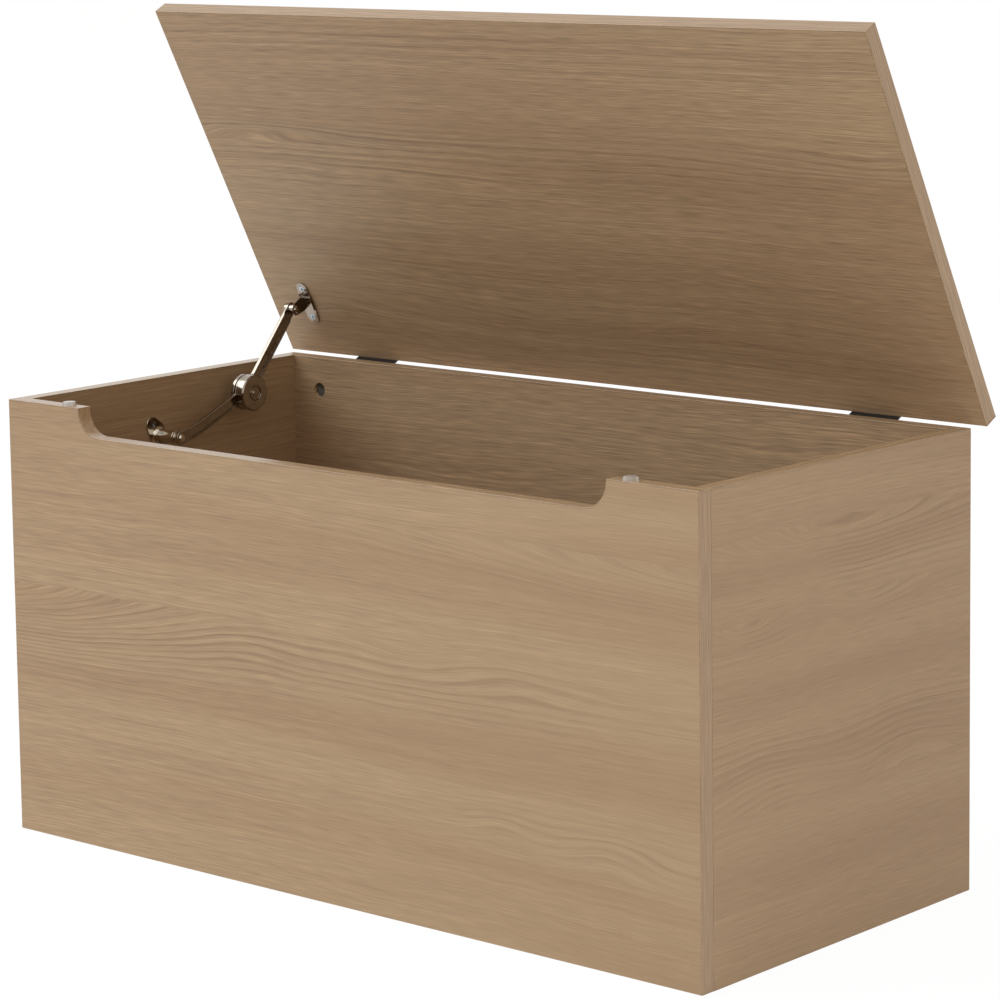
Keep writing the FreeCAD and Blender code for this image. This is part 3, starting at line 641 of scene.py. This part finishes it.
def soften(node, width, steps):
    """Rounds a solid's sharp edges a little, as trimming, plating and pressing do."""
    solid = nodes[node]
    weld = solid.modifiers.new("weld", "WELD")
    weld.merge_threshold = WELD_GAP
    flat = solid.modifiers.new("flat", "DECIMATE")
    flat.decimate_type = "DISSOLVE"
    flat.angle_limit = FLAT_WITHIN
    edge = solid.modifiers.new("edge", "BEVEL")
    edge.width = width
    edge.segments = steps
    edge.limit_method = "ANGLE"
    edge.angle_limit = SHARP_FROM
    solid.modifiers.new("shade", "WEIGHTED_NORMAL")


for node in STRIPS:
    soften(node, STRIP_EDGE, STRIP_EDGE_STEPS)
for node in PRESSED:
    soften(node, PRESSED_EDGE, PRESSED_EDGE_STEPS)


# Stage: camera, white surroundings, floor and two soft lamps

CAMERA_AT = Vector((2.1282, -2.4256, 0.9151))
CAMERA_TURN = math.radians(41.960)
CAMERA_RISE = math.radians(7.633)
CAMERA_ROLL = math.radians(-0.938)
CAMERA_LENS = 132.75
CAMERA_SENSOR = 36.0
CAMERA_SHIFT = (0.0744, -0.1732)
CAMERA_REACH = (0.05, 200.0)

SKY_LEVEL = 0.68
SKY_TINT = (1.0, 0.92, 0.870, 1.0)

FLOOR_REACH = 30.0
FLOOR_DROP = 0.2 * MM
FLOOR_PALE = (0.92, 0.92, 0.92, 1.0)
FLOOR_WHITE_LEVEL = 1.03
FLOOR_WHITE_SHARE = 0.93

Lamp = namedtuple("Lamp", "place target size power colour")
LAMPS = {
    "key": Lamp((-4.7, -3.4, 5.9), (0.0, 0.0, 0.3), (6.0, 6.0), 375.0, (0.87, 0.94, 1.0)),
    "fill": Lamp((5.0, 0.2, 1.4), (0.4, 0.0, 0.25), (2.0, 2.0), 8.5, (1.0, 0.86, 0.6)),
}

scene = bpy.context.scene


def add_camera():
    data = bpy.data.cameras.new("camera")
    data.lens = CAMERA_LENS
    data.sensor_width = CAMERA_SENSOR
    data.shift_x, data.shift_y = CAMERA_SHIFT
    data.clip_start, data.clip_end = CAMERA_REACH
    level = math.cos(CAMERA_RISE)
    back = Vector((math.sin(CAMERA_TURN) * level, -math.cos(CAMERA_TURN) * level, math.sin(CAMERA_RISE)))
    side = Vector((math.cos(CAMERA_TURN), math.sin(CAMERA_TURN), 0))
    up = back.cross(side)
    right = side * math.cos(CAMERA_ROLL) + up * math.sin(CAMERA_ROLL)
    top = up * math.cos(CAMERA_ROLL) - side * math.sin(CAMERA_ROLL)
    camera = bpy.data.objects.new("camera", data)
    scene.collection.objects.link(camera)
    camera.matrix_world = Matrix.Translation(CAMERA_AT) @ Matrix((right, top, back)).transposed().to_4x4()
    bpy.context.scene.camera = camera


def seen_white(tree):
    """1 for rays that show the background itself: to the camera, in gloss and through clear pieces."""
    path = put(tree, "LightPath").outputs
    seen = calc(tree, "ADD", path["Is Camera Ray"], path["Is Glossy Ray"])
    return calc(tree, "MINIMUM", calc(tree, "ADD", seen, path["Is Transmission Ray"]), 1.0)


def add_world():
    world = bpy.data.worlds.new("studio")
    world.use_nodes = True
    tree = world.node_tree
    tree.nodes.clear()
    seen = seen_white(tree)
    level = blend_value(tree, seen, SKY_LEVEL, 1.0)
    colour = blend_colour(tree, seen, SKY_TINT, WHITE)
    light = put(tree, "Background", {"Color": colour, "Strength": level})
    put(tree, "OutputWorld", {"Surface": light.outputs[0]})
    scene.world = world


def add_floor():
    mesh = bpy.data.meshes.new("floor")
    corners = [(x * FLOOR_REACH, y * FLOOR_REACH, -FLOOR_DROP)
               for x, y in ((-1, -1), (1, -1), (1, 1), (-1, 1))]
    mesh.from_pydata(corners, [], [(0, 1, 2, 3)])
    floor = bpy.data.objects.new("floor", mesh)
    scene.collection.objects.link(floor)
    material = bpy.data.materials.new("pale_floor")
    material.use_nodes = True
    tree = material.node_tree
    tree.nodes.clear()
    lit = put(tree, "BsdfDiffuse", {"Color": FLOOR_PALE})
    white = put(tree, "Emission", {"Color": WHITE, "Strength": FLOOR_WHITE_LEVEL})
    share = times(tree, seen_white(tree), FLOOR_WHITE_SHARE)
    mix = put(tree, "MixShader", {0: share, 1: lit.outputs[0], 2: white.outputs[0]})
    put(tree, "OutputMaterial", {"Surface": mix.outputs[0]})
    mesh.materials.append(material)


def add_lamp(name, lamp):
    data = bpy.data.lights.new(name, "AREA")
    data.shape = "RECTANGLE"
    data.size, data.size_y = lamp.size
    data.energy = lamp.power
    data.color = lamp.colour
    made = bpy.data.objects.new(name, data)
    scene.collection.objects.link(made)
    made.location = lamp.place
    made.rotation_mode = "QUATERNION"
    made.rotation_quaternion = (Vector(lamp.target) - Vector(lamp.place)).to_track_quat("-Z", "Y")


add_camera()
add_world()
add_floor()
for name, lamp in LAMPS.items():
    add_lamp(name, lamp)

scene.view_settings.view_transform = "Standard"
